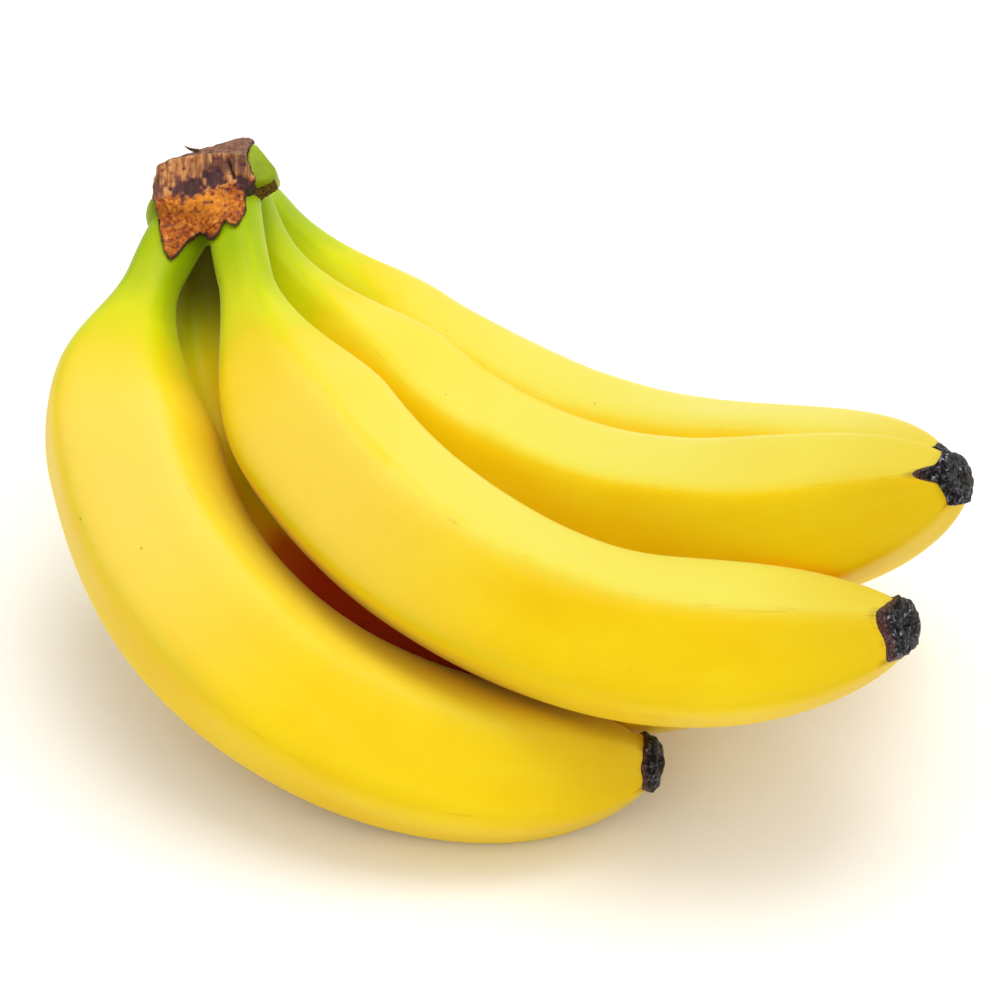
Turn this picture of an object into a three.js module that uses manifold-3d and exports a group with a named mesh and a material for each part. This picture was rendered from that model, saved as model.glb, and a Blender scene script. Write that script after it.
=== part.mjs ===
// A bunch of five ripe bananas, still joined at their cut crown and lying on a flat surface.
// Three outer fingers carry the bunch on their bellies and two inner fingers lie over them.
// Millimetres and degrees. +X runs from the crown to the tips, +Y away from the front finger
// and +Z up. The origin is the middle of the footprint, on the surface.

import * as THREE from 'three';
import { mergeVertices } from 'three/addons/utils/BufferGeometryUtils.js';
import Module from 'manifold-3d';

// ---- The profile that every finger shares ----

const NECK_RADIUS = 5.3;
const NECK_LENGTH = 14;        // slender before the shoulder starts
const SHOULDER_LENGTH = 42;    // from the neck to the full body
const TAPER_LENGTH = 62;       // from the full body to the blossom end
const TAPER_POWER = 2.6;       // higher keeps the body full for longer
const TAPER_BLUNTNESS = 0.62;  // lower makes a blunter end
const END_RADIUS = 4.5;

const FACETS = 5;              // flats round a finger, with a ridge between each two
const RIDGE_SOFTNESS = 5;      // higher makes sharper ridges
const FLAT_RADIUS = 0.97;      // of the mean radius, at the middle of a flat

// ---- Where each finger grows ----
// Fingers that press on each other give way in this order: each is cut clear of those before it.
// neck:    middle of the neck where it leaves the crown
// heading: way it sets off in plan, from +X toward +Y; dip: how steeply it sets off downward
// side:    way it bends, turned about its own line from straight up
// bend:    how far it turns in all; early and late: how little of that comes at each end
// twist:   how far the bend itself winds round; ridge: the ridge nearest the hollow side
// peelEnd: distance along the finger where the peel stops and the blossom end begins

const FINGERS = [
  {
    name: 'upper_front', neck: [-54.5, 14.5, 73.5], heading: -81.5, dip: 22.5, side: -79.5,
    length: 188, bend: 90.5, early: 0.25, late: 0.25, twist: 7,
    radius: 16.9, ridge: 20, peelEnd: 183,
  },
  {
    name: 'upper_back', neck: [-53.5, 28.5, 70], heading: -58.5, dip: 46, side: -34.5,
    length: 193, bend: 92, early: 0.15, late: 0.5, twist: 10,
    radius: 16.7, ridge: -22, peelEnd: 188,
  },
  {
    name: 'back', neck: [-55, 42, 64.2], heading: -12.5, dip: 71, side: 17.5,
    length: 197, bend: 110.5, early: -0.03, late: 0.58, twist: 6,
    radius: 16.8, ridge: 0, peelEnd: 192,
  },
  {
    name: 'front', neck: [-65, 17.5, 68.2], heading: -116.5, dip: 14.5, side: -114.5,
    length: 189, bend: 127, early: 0.2, late: 0.3, twist: 16,
    radius: 17.2, ridge: 0, peelEnd: 186,
  },
  {
    name: 'middle', neck: [-62.7, 28.5, 62], heading: -110, dip: 47, side: -83.5,
    length: 184, bend: 103, early: 0.05, late: 0.85, twist: -5,
    radius: 15.2, ridge: 0, peelEnd: 181,
  },
];

// ---- Where the pieces meet ----

const ROOT_LENGTH = 10;        // of each neck that belongs to the crown
const GAP = 0.3;               // between pieces that touch

// ---- The dried blossom end ----
// Rings from the peel outward: distance past the peel's end, and radius.

const TIP_RINGS = [[0, 4.7], [1.2, 5.6], [3.6, 5.5], [5.4, 4.2], [6, 2.6]];
const TIP_LOBES = 5;
const TIP_LOBE_DEPTH = 0.5;

// ---- The crown ----
// Its cut face is drawn flat, u to the right and v up the face, then tipped into place.

const FACE_CENTRE = [-61, 14.5, 78];
const FACE_TIP = 26;           // forward from level
const FACE_TURN = -8;          // down toward the front finger
const BLOCK_DEPTH = 15;
const BLOCK_TAPER = 0.24;      // how much narrower the block is at its foot
const BLOCK_ROUNDING = 1.4;
const CORK_THICKNESS = 2.2;
const CHEEK_SLOPE = 0.4;       // drop per millimetre outward
const CHEEK_ROUNDING = 0.8;
const BLOCK_MIDDLE = 4;        // up the face, where the taper is centred
const CUSHION_CENTRE = [-58.5, 30, 65];
const CUSHION_RADII = [9.5, 13.5, 8.5];
const ROOT_RADIUS = 7;         // where a neck leaves the cushion

const BLOCK_OUTLINE = [
  [-9.7, -4], [-10.3, 0.5], [-9, 7.1], [-8, 8.1], [-1.5, 10.5], [8.4, 13.3], [9.8, 12.4],
  [10.2, 8.2], [10.8, 3.3], [9, -2.2], [7.5, -5],
];
const CORK_OUTLINE = [
  [-9.7, -2.2], [-9, 4], [9, 4], [9, -2.2], [7.8, -6.4], [5.7, -6.2], [4.9, -4.3], [2, -9],
  [-0.8, -6.8], [-3.9, -9.7], [-7, -13.4], [-8, -11.7],
];
const CHEEK_OUTLINE = [[7, 12.5], [10, 12.4], [12.9, 9.1], [15.7, 4.6], [15.1, 2.9], [7, 2.5]];
const CHEEK_TOP = -0.8;
const CHEEK_FOOT = -8.5;
const LEDGE_OUTLINE = [[7, 4], [14.3, 3.6], [12, -0.6], [7, -0.6]];
const LEDGE_TOP = -4.5;
const LEDGE_FOOT = -11;

// ---- How finely the pieces are faceted ----

const SIDES = 20;
const FINGER_RINGS = 38;
const TIP_CROWDING = 0.4;      // how much closer the rings come toward the blossom end
const ROOT_RINGS = 8;
const PATH_STEP = 1;           // between stations on a centre line

const PEEL = new THREE.MeshStandardMaterial({ color: '#f6d32b', roughness: 0.42, metalness: 0 });
const TIP = new THREE.MeshStandardMaterial({ color: '#26221f', roughness: 0.6, metalness: 0 });
const CROWN = new THREE.MeshStandardMaterial({ color: '#a8682f', roughness: 0.8, metalness: 0 });

const wasm = await Module();
wasm.setup();

const radians = THREE.MathUtils.degToRad;

// A closed geometry as a solid that can be joined and cut.
function solidOf(geometry) {
  geometry.deleteAttribute('normal');
  geometry.deleteAttribute('uv');
  const merged = mergeVertices(geometry, 1e-4);
  const mesh = new wasm.Mesh({
    numProp: 3,
    vertProperties: new Float32Array(merged.attributes.position.array),
    triVerts: new Uint32Array(merged.index.array),
  });
  return new wasm.Manifold(mesh);
}

// The largest body of a solid, without the scraps that a cut can leave.
function largestBody(solid) {
  return solid.decompose().reduce((best, body) => (body.volume() > best.volume() ? body : best));
}

function geometryOf(solid) {
  const mesh = solid.getMesh();
  const geometry = new THREE.BufferGeometry();
  geometry.setAttribute('position', new THREE.BufferAttribute(mesh.vertProperties, 3));
  geometry.setIndex(new THREE.BufferAttribute(mesh.triVerts, 1));
  geometry.computeVertexNormals();
  return geometry;
}

// Moves every vertex of a geometry to where the given function says.
function reshape(geometry, place) {
  const positions = geometry.attributes.position;
  const vertex = new THREE.Vector3();
  for (let i = 0; i < positions.count; i += 1) {
    vertex.fromBufferAttribute(positions, i);
    place(vertex);
    positions.setXYZ(i, vertex.x, vertex.y, vertex.z);
  }
  return geometry;
}

// ---- Fingers ----

// The centre line sets off from the neck and turns toward its hollow side in small steps.
// Each station holds its place, the way along, the way to the hollow side and the way across.
function centreLine(finger) {
  const heading = radians(finger.heading);
  const dip = radians(finger.dip);
  const along = new THREE.Vector3(
    Math.cos(heading) * Math.cos(dip), Math.sin(heading) * Math.cos(dip), -Math.sin(dip),
  );
  const inward = new THREE.Vector3(0, 0, 1).addScaledVector(along, -along.z).normalize();
  inward.applyAxisAngle(along, radians(finger.side));
  const across = along.clone().cross(inward);
  const place = new THREE.Vector3(...finger.neck);

  const count = Math.round(finger.length / PATH_STEP);
  const bendAt = (t) => (t + 0.01) ** finger.early * (1.01 - t) ** finger.late;
  let allBend = 0;
  for (let i = 0; i < count; i += 1) allBend += bendAt((i + 0.5) / count);

  const stations = [];
  for (let i = 0; i <= count; i += 1) {
    stations.push({
      place: place.clone(), along: along.clone(), inward: inward.clone(), across: across.clone(),
    });
    place.addScaledVector(along, PATH_STEP / 2);
    const turn = radians(finger.bend) * bendAt((i + 0.5) / count) / allBend;
    along.applyAxisAngle(across, turn);
    inward.applyAxisAngle(across, turn);
    inward.applyAxisAngle(along, radians(finger.twist) / count);
    across.crossVectors(along, inward);
    place.addScaledVector(along, PATH_STEP / 2);
  }
  return stations;
}

// The station at any distance along the centre line, on straight lines past both ends.
function stationAt(stations, distance) {
  const last = stations.length - 1;
  const index = THREE.MathUtils.clamp(Math.floor(distance / PATH_STEP), 0, last - 1);
  const blend = THREE.MathUtils.clamp(distance / PATH_STEP - index, 0, 1);
  const [from, to] = [stations[index], stations[index + 1]];
  const along = from.along.clone().lerp(to.along, blend).normalize();
  const past = distance - THREE.MathUtils.clamp(distance, 0, last * PATH_STEP);
  return {
    place: from.place.clone().lerp(to.place, blend).addScaledVector(along, past),
    along,
    inward: from.inward.clone().lerp(to.inward, blend).normalize(),
    across: from.across.clone().lerp(to.across, blend).normalize(),
  };
}

// Mean radius of a finger at a distance from its neck.
function radiusAt(finger, distance) {
  const body = THREE.MathUtils.smoothstep(distance, NECK_LENGTH, NECK_LENGTH + SHOULDER_LENGTH);
  const full = NECK_RADIUS + (finger.radius - NECK_RADIUS) * body;
  const start = finger.length - TAPER_LENGTH;
  const taper = THREE.MathUtils.clamp((distance - start) / TAPER_LENGTH, 0, 1);
  return Math.max(full * (1 - taper ** TAPER_POWER) ** TAPER_BLUNTNESS, END_RADIUS);
}

// How far out the skin lies at an angle from a ridge, against the mean radius.
function facetedRadius(angle) {
  let sum = 0;
  for (let k = 0; k < FACETS; k += 1) {
    const facing = Math.cos(angle - (k + 0.5) * 2 * Math.PI / FACETS);
    if (facing > 0) sum += facing ** RIDGE_SOFTNESS;
  }
  return FLAT_RADIUS * sum ** (-1 / RIDGE_SOFTNESS);
}

// Wraps an upright unit cylinder round a line. The rule says which station a share of the way
// down the cylinder lies at, and what its radius is there at an angle from the hollow side.
function wrappedCylinder(rings, rule) {
  const geometry = new THREE.CylinderGeometry(1, 1, 1, SIDES, rings);
  return solidOf(reshape(geometry, (vertex) => {
    const angle = Math.atan2(vertex.x, vertex.z);
    const { station, radius } = rule(0.5 - vertex.y, angle);
    const reach = radius * Math.hypot(vertex.x, vertex.z);
    vertex.copy(station.place);
    vertex.addScaledVector(station.inward, reach * Math.cos(angle));
    vertex.addScaledVector(station.across, -reach * Math.sin(angle));
  }));
}

// A finger's skin from the crown's root to the blossom end, grown outward if asked.
function fingerBody(finger, stations, growth) {
  const start = ROOT_LENGTH + GAP - growth;
  const span = finger.peelEnd + growth - start;
  return wrappedCylinder(FINGER_RINGS, (share, angle) => {
    const crowded = (1 - TIP_CROWDING) * share + TIP_CROWDING * Math.sin(share * Math.PI / 2);
    const distance = start + span * crowded;
    const skin = radiusAt(finger, distance) * facetedRadius(angle + radians(finger.ridge));
    return { station: stationAt(stations, distance), radius: skin + growth };
  });
}

// The shrunken black stub of the flower, lobed and a little wider than the peel under it.
function blossomTip(finger, stations) {
  const last = TIP_RINGS.length - 1;
  return wrappedCylinder(last, (share, angle) => {
    const [rise, radius] = TIP_RINGS[Math.round(share * last)];
    return {
      station: stationAt(stations, finger.peelEnd + GAP + rise),
      radius: radius + TIP_LOBE_DEPTH * Math.cos(TIP_LOBES * angle),
    };
  });
}

// ---- Crown ----

const faceToBunch = new THREE.Matrix4().makeTranslation(...FACE_CENTRE)
  .multiply(new THREE.Matrix4().makeRotationX(radians(FACE_TIP)))
  .multiply(new THREE.Matrix4().makeRotationY(radians(FACE_TURN)));

function outlineShape(points) {
  return new THREE.Shape(points.map(([u, v]) => new THREE.Vector2(u, v)));
}

// A slab whose outline is drawn on the cut face, between two heights over that face.
function slab(outline, top, foot, rounding) {
  const geometry = new THREE.ExtrudeGeometry(outlineShape(outline), {
    depth: top - foot - 2 * rounding,
    bevelEnabled: rounding > 0,
    bevelThickness: rounding,
    bevelSize: rounding,
    bevelOffset: -rounding,
    bevelSegments: 2,
  });
  return geometry.translate(0, 0, foot + rounding);
}

function crownBlock() {
  const geometry = slab(BLOCK_OUTLINE, 0, -BLOCK_DEPTH, BLOCK_ROUNDING);
  return reshape(geometry, (vertex) => {
    const narrowing = 1 + BLOCK_TAPER * vertex.z / BLOCK_DEPTH;
    vertex.x *= narrowing;
    vertex.y = BLOCK_MIDDLE + (vertex.y - BLOCK_MIDDLE) * narrowing;
  });
}

function crownCheek() {
  const geometry = slab(CHEEK_OUTLINE, CHEEK_TOP, CHEEK_FOOT, CHEEK_ROUNDING);
  return reshape(geometry, (vertex) => {
    vertex.z -= CHEEK_SLOPE * Math.max(vertex.x - CHEEK_OUTLINE[1][0], 0);
  });
}

// The rounded pad under the block, which all the necks grow from.
function crownCushion() {
  const geometry = new THREE.SphereGeometry(1, 20, 12);
  return solidOf(geometry.scale(...CUSHION_RADII).translate(...CUSHION_CENTRE));
}

// One root: a curved stalk from inside the cushion into the start of a finger's neck.
function crownRoot(finger, stations) {
  const heart = new THREE.Vector3(...CUSHION_CENTRE);
  const neck = stationAt(stations, 0);
  const end = stationAt(stations, ROOT_LENGTH);
  const halfWay = heart.clone().lerp(neck.place, 0.5);
  const curve = new THREE.CatmullRomCurve3([heart, halfWay, neck.place, end.place]);
  return wrappedCylinder(ROOT_RINGS, (share, angle) => {
    const along = share === 1 ? end.along : curve.getTangent(share);
    const inward = end.inward.clone().addScaledVector(along, -end.inward.dot(along)).normalize();
    const mean = THREE.MathUtils.lerp(ROOT_RADIUS, NECK_RADIUS, share);
    return {
      station: { place: curve.getPoint(share), inward, across: along.clone().cross(inward) },
      radius: mean * facetedRadius(angle + radians(finger.ridge)),
    };
  });
}

function crown(lines) {
  const drawnOnFace = [
    crownBlock(),
    slab(CORK_OUTLINE, 0, -CORK_THICKNESS, 0),
    crownCheek(),
    slab(LEDGE_OUTLINE, LEDGE_TOP, LEDGE_FOOT, 0),
  ];
  let whole = crownCushion();
  for (const geometry of drawnOnFace) {
    whole = whole.add(solidOf(geometry.applyMatrix4(faceToBunch)));
  }
  FINGERS.forEach((finger, i) => {
    whole = whole.add(crownRoot(finger, lines[i]));
  });
  return whole;
}

// ---- The bunch ----

const lines = FINGERS.map(centreLine);
const surface = solidOf(new THREE.BoxGeometry(400, 400, 40).translate(0, 0, -20));
const bunch = new THREE.Group();

function addPiece(name, solid, material) {
  const mesh = new THREE.Mesh(geometryOf(largestBody(solid)), material.clone());
  mesh.name = name;
  bunch.add(mesh);
}

const grownBodies = FINGERS.map((finger, i) => fingerBody(finger, lines[i], GAP));

FINGERS.forEach((finger, i) => {
  let body = fingerBody(finger, lines[i], 0).subtract(surface);
  for (const earlier of grownBodies.slice(0, i)) body = body.subtract(earlier);
  addPiece(`banana_${finger.name}`, body, PEEL);
  addPiece(`tip_${finger.name}`, blossomTip(finger, lines[i]), TIP);
});

let joined = crown(lines);
for (const grown of grownBodies) joined = joined.subtract(grown);
addPiece('crown', joined, CROWN);

const box = new THREE.Box3().setFromObject(bunch);
const middle = box.getCenter(new THREE.Vector3());
bunch.position.set(-middle.x, -middle.y, -box.min.z);

export default bunch;
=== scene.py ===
"""A bunch of five ripe bananas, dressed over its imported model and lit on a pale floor.

Three outer fingers lie on their bellies, two inner ones lie over them, and all five meet at a
cut crown. Shapes are worked out in millimetres and put into their meshes in metres, in the
model's own frame: +X from the crown to the tips, +Y away from the front finger and +Z up.
"""
from functools import partial
from itertools import accumulate

import bpy
import numpy as np
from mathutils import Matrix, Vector


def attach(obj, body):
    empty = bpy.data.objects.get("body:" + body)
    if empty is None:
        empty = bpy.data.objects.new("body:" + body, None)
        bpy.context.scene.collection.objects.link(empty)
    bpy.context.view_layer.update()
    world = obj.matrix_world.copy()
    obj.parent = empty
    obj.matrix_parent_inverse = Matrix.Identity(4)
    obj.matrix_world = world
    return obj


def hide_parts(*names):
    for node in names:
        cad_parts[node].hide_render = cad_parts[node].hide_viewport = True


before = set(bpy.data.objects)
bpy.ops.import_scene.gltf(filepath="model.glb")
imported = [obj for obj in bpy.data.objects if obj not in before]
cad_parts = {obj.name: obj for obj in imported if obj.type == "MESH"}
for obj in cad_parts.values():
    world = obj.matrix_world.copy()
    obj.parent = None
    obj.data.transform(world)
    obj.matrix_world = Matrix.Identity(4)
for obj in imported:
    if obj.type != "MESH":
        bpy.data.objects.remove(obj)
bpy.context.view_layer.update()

bl_info = {
    "name": "Bunch of Bananas",
    "version": (1, 0, 0),
    "blender": (4, 5, 0),
    "location": "3D View > Sidebar > Bananas",
    "description": "Makes a bunch of five ripe bananas and a pale studio round it",
    "category": "Object",
}

BODY = "root"
MM = 0.001

# ---- Sizes of the fingers, in millimetres and degrees, as their solids have them ----
# neck, heading, dip and side say where a finger leaves the crown and which way it sets off
# and bends; bend, early, late and twist say how. The rest is for the skin. Ridges gives the turn
# of the first ridge at either end, crisp sharpens the ridges, and green is how far the unripe
# green of the neck reaches. A stray is a place along the finger, a spread and how far the line
# moves there, and a swelling is a place, a spread and a change of radius. The taper starts later
# by blunt and stops at end_radius. The peel ends at peel_end, and cap is the length of the
# blossom end against a full one. Its tissue reaches back over the peel by slant on its near side,
# by lobe on every ridge, and along one line by spur, an angle from the hollow side and a length.
# Shut in is 1 for the finger between and under others, which is given painted shade. The painted
# top sheen is how much paler colour is painted on the upper flats as sheen, and the painted neck
# highlight is how strongly the near shoulder is painted paler, on its side toward the camera.

SHIFT = np.array([-0.79, 26.95, 0.0])
FINGERS = {
    "upper_front": dict(
        neck=(-54.5, 14.5, 73.5), heading=-81.5, dip=22.5, side=-79.5, length=188, bend=90.5,
        early=0.25, late=0.25, twist=7, radius=16.9, ridges=(-2, 9), peel_end=187.8,
        crisp=8, green=54, strays=[(0, 9, (0, 1.3, -1.2)), (132, 26, (0, -0.65, -0.7))],
        swellings=[(132, 26, -0.9)], blunt=2.0,
        slant=5.5, lobe=0.7, spur=(262, 1.0), shut_in=0, painted_top_sheen=1,
        painted_neck_highlight=0.45, cap=0.9, end_radius=5.5, seed=11,
    ),
    "upper_back": dict(
        neck=(-53.5, 28.5, 70), heading=-58.5, dip=46, side=-34.5, length=193, bend=92,
        early=0.15, late=0.5, twist=10, radius=16.7, ridges=(-44, -15), peel_end=191.2,
        crisp=10, green=52, strays=[(12, 12, (-1.1, 0, 0))], swellings=[], blunt=0.5,
        slant=0.8, lobe=0.8, spur=(309, 3.8), shut_in=0, painted_top_sheen=1,
        painted_neck_highlight=0, cap=0.65, end_radius=5.0, seed=12,
    ),
    "back": dict(
        neck=(-55, 42, 64.2), heading=-12.5, dip=71, side=17.5, length=197, bend=110.5,
        early=-0.03, late=0.58, twist=6, radius=16.8, ridges=(8, 8), peel_end=194.5,
        crisp=6, green=58, strays=[(-3, 11, (0, -2.3, -2.6))],
        swellings=[(20, 15, 1.1), (55, 13, -1.0)], blunt=0.0,
        slant=0.2, lobe=0.7, spur=(290, 1.0), shut_in=0, painted_top_sheen=1,
        painted_neck_highlight=0, cap=0.8, end_radius=4.2, seed=13,
    ),
    "front": dict(
        neck=(-65, 17.5, 68.2), heading=-116.5, dip=14.5, side=-114.5, length=189, bend=127,
        early=0.2, late=0.3, twist=16, radius=17.2, ridges=(0, 0), peel_end=189.8,
        crisp=7.5, green=64, strays=[(38, 13, (-1.5, 0, 0)), (125, 55, (0.3, 1.3, 0))],
        swellings=[(5, 11, 0.6), (34, 12, 1.1), (85, 24, 0.4), (148, 22, -0.5)], blunt=2.5,
        slant=3.4, lobe=0.5, spur=(250, 0.8), shut_in=0, painted_top_sheen=0.4,
        painted_neck_highlight=0.6, cap=1, end_radius=5.5, seed=14,
    ),
    "middle": dict(
        neck=(-62.7, 28.5, 62), heading=-110, dip=47, side=-83.5, length=184, bend=103,
        early=0.05, late=0.85, twist=-5, radius=15.2, ridges=(0, 0), peel_end=181,
        crisp=6, green=48, strays=[(24, 20, (0.9, 0, 0))], swellings=[(22, 18, 1.3)], blunt=0.0,
        slant=0.6, lobe=0.8, spur=(265, 1.0), shut_in=1, painted_top_sheen=0,
        painted_neck_highlight=0, cap=1, end_radius=4.5, seed=15,
    ),
}
NECK_RADIUS = 5.3
NECK_LENGTH = 14
SHOULDER_LENGTH = 42
TAPER_LENGTH = 62
TAPER_POWER = 2.6
TAPER_BLUNTNESS = 0.62
FACETS = 5
RIDGE_REACH = 1.055     # of the mean radius, at a ridge
ROOT_REACH = 12         # of a neck, back into the crown
ROOT_RADIUS = 6.6
NEAR_SIDE = 235         # of a blossom end, from the hollow side
END_LEAN = 0.6          # of the slant, that the whole end leans by
LEAN_LENGTH = 14        # of the skin before the blossom end, that leans with it
PATTERN_STEP = 60       # between one finger's patterns and the next's, so that none are alike
SKIN_RADIUS = 17        # of the straightened finger that the skin's patterns are drawn on

PAINTED_SHEEN_SIDE = np.array([0.3, 0.25, 0.92])        # up, a little right and back: flats turned this way are painted paler as sheen
TOWARD_CAMERA = np.array([-0.05, -0.74, 0.67])    # toward the camera: shoulders turned this way are painted paler as a highlight, and the gap shade is painted only on this side
PRESS_FROM = 20         # along a finger, where others start to give way to it
SKIN_GAP = 0.12         # between skins that press on each other

# ---- The crown ----
# Its cut face is drawn flat, u to the right, v up the face and w out of it.

FACE_CENTRE = np.array([-61, 14.5, 78]) + SHIFT
FACE_TIP = 26           # forward from level
FACE_TURN = -8          # down toward the front finger
CUSHION_CENTRE = np.array([-58.5, 30, 65]) + SHIFT
CUSHION_RADII = (9.0, 12.5, 7.5)
HANG = np.array([0, 0.743, -0.669])     # the way that the torn cork lies back on the necks
REST_ON_NECKS = 0.8     # from the necks' mean radius up to the cork
DRAPE_ROUNDS = 10       # of sliding the cork until it rests on the necks
DRAPE_LIMITS = (-6, 3.2)        # of the slide, forward and back
CUT_MIDDLE = np.array([1.5, 1.0])       # of the cut face, where its rings close
CORK_FROM = -4.2        # up the face, where the block ends and only thin cork hangs below
NECKS_BLEND = 1.3       # how softly the two front necks run together under the cork
VOXEL = 0.45            # of the remesh that joins the crown's green parts

CUT_EDGE = [
    (-10.1, 0.2), (-10.0, 4.1), (-9.0, 7.6), (-6.9, 9.2), (-5.4, 9.8), (-1.7, 11.6), (1.8, 12.7),
    (4.4, 13.9), (7.2, 15.1), (8.7, 15.5), (9.8, 14.6), (9.8, 12.2), (9.4, 9.5), (9.9, 7.3),
    (10.7, 5.0), (11.4, 2.6), (10.3, 1.3), (9.4, 0.4), (9.2, -1.5), (9.6, -3.2), (9.2, -4.8),
    (8.7, -6.2), (7.6, -7.0), (6.2, -6.6), (5.4, -5.6), (3.8, -8.8), (2.4, -9.9), (1.1, -8.9),
    (-0.1, -7.9), (-1.7, -9.1), (-3.3, -10.4), (-4.9, -12.9), (-5.9, -13.8), (-7.2, -11.6),
    (-8.4, -6.4), (-9.3, -1.2),
]
CHEEK_EDGE = [
    (9.0, 8.5), (10.5, 12.5), (12.8, 9.6), (15.3, 6.1), (14.3, 3.9), (11.6, 2.5), (8.4, 2.5),
]
LEDGE_EDGE = [(7.0, 4.2), (13.0, 4.1), (12.6, 2.9), (11.6, 1.8), (7.5, 1.5)]
SHOULDER = (-70.9, 44.4, 70.3)      # of the front neck, beside the block
CHAR_PATCHES = [
    (-2.3, 2.2, 3.0, 1.9), (2.8, 3.7, 2.4, 2.3), (9.2, 2.0, 1.6, 2.6), (1.3, -9.0, 1.3, 0.9),
]
SMOKE_PATCHES = [(3.6, 6.6, 4.2, 2.6), (8.6, 7.0, 1.6, 3.4), (-8.9, 3.0, 0.9, 4.5)]

# ---- The studio ----

CAMERA_PLACE = (-0.00079, -0.56755, 0.543)
CAMERA_TARGET = (-0.00079, 0.02695, 0.0077)
CAMERA_LENS, SENSOR_WIDTH = 135.36, 36
LAMP_PLACE = (0.15, 0.3, 1.85)
TENT_TOP = (0.58, 0.1, 0.81)    # toward the brightest part of the tent, up and to the right
FLOOR_REACH = 6.0       # of the paper, from the middle to each side


# ---- Sums that the shapes share ----

def smooth(low, high, value):
    """0 below low and 1 above high, along 3t² - 2t³ between them."""
    t = np.clip((value - low) / (high - low), 0, 1)
    return t * t * (3 - 2 * t)


def bell(value, middle, width):
    """e^(-((value - middle) / width)²)."""
    return np.exp(-(((value - middle) / width) ** 2))


def unit(vectors):
    """The same directions, one long."""
    return vectors / np.linalg.norm(vectors, axis=-1, keepdims=True)


def noise(points, size, seed):
    """Smooth noise from -1 to 1: random values at the corners of a lattice whose cells are size
    wide, blended inside each cell by 3t² - 2t³ along each axis."""
    table = np.random.default_rng(seed).uniform(-1, 1, (32, 32, 32))
    place = np.asarray(points, float) / size
    corner = np.floor(place).astype(int)
    share = place - corner
    share = share * share * (3 - 2 * share)
    total = 0
    for offset in np.ndindex(2, 2, 2):
        weight = np.prod(np.where(offset, share, 1 - share), axis=-1)
        index = (corner + offset) % 32
        total = total + weight * table[index[..., 0], index[..., 1], index[..., 2]]
    return total


def turned(angles):
    """Rotation matrix: about X by the first angle, then about the turned Y by the second."""
    (cx, cy), (sx, sy) = np.cos(np.radians(angles)), np.sin(np.radians(angles))
    about_x = np.array([[1, 0, 0], [0, cx, -sx], [0, sx, cx]])
    return about_x @ np.array([[cy, 0, sy], [0, 1, 0], [-sy, 0, cy]])


def on_face(u, v, w):
    """A point of the crown's drawing: the face's centre plus u, v and w along its axes."""
    return FACE_CENTRE + np.stack([u, v, w], -1) @ turned((FACE_TIP, FACE_TURN)).T


def tube(radius, angle, along):
    """Points of a straight tube: radius times cosine and sine of the angle, and the place along."""
    return np.stack([radius * np.cos(angle), radius * np.sin(angle), along + 0 * angle], -1)


# ---- Meshes ----

def ring_grid(along, sides):
    """Two grids with a row for each ring: the value along the piece and the angle round it."""
    return np.meshgrid(along, np.linspace(0, 2 * np.pi, sides, endpoint=False), indexing="ij")


def with_poles(grid):
    """Flattens a grid of rings, and adds the middle of its first and of its last ring."""
    flat = grid.reshape(-1, *grid.shape[2:])
    return np.concatenate([flat, [grid[0].mean(0), grid[-1].mean(0)]])


def ring_faces(rings, sides):
    """Four-cornered faces between neighbouring rings, and a fan from each end ring to its pole."""
    ring, side = np.meshgrid(np.arange(rings - 1), np.arange(sides), indexing="ij")
    here, after = ring * sides + side, ring * sides + (side + 1) % sides
    quads = np.stack([here, after, after + sides, here + sides], -1).reshape(-1, 4)
    edge = np.arange(sides)
    beside = (edge + 1) % sides
    last = (rings - 1) * sides
    first_fan = np.stack([np.full(sides, rings * sides), beside, edge], -1)
    last_fan = np.stack([np.full(sides, rings * sides + 1), last + edge, last + beside], -1)
    return quads.tolist() + first_fan.tolist() + last_fan.tolist()


def put_object(name, data):
    """A new object in the scene."""
    made = bpy.data.objects.new(name, data)
    bpy.context.scene.collection.objects.link(made)
    return made


def put_piece(name, points, faces, material, nodes, marks=None):
    """A finished piece: points in millimetres, faces turned outward, named values at its points,
    its material, the solids that it stands for and the body that it rides on."""
    first, after, last = (np.array([points[face[i]] for face in faces]) for i in (0, 1, -1))
    if np.einsum("ij,ij->", first, np.cross(after, last)) < 0:
        faces = [face[::-1] for face in faces]
    mesh = bpy.data.meshes.new(name)
    mesh.from_pydata((np.asarray(points) * MM).tolist(), [], faces)
    for mark, values in (marks or {}).items():
        kind, field = ("FLOAT_VECTOR", "vector") if values.ndim == 2 else ("FLOAT", "value")
        layer = mesh.attributes.new(mark, kind, "POINT")
        layer.data.foreach_set(field, np.ascontiguousarray(values, np.float32).ravel())
    mesh.shade_smooth()
    mesh.materials.append(material)
    piece = put_object(name, mesh)
    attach(piece, BODY)
    if nodes:
        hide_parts(*nodes)
    return piece


# ---- Fingers ----

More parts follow.
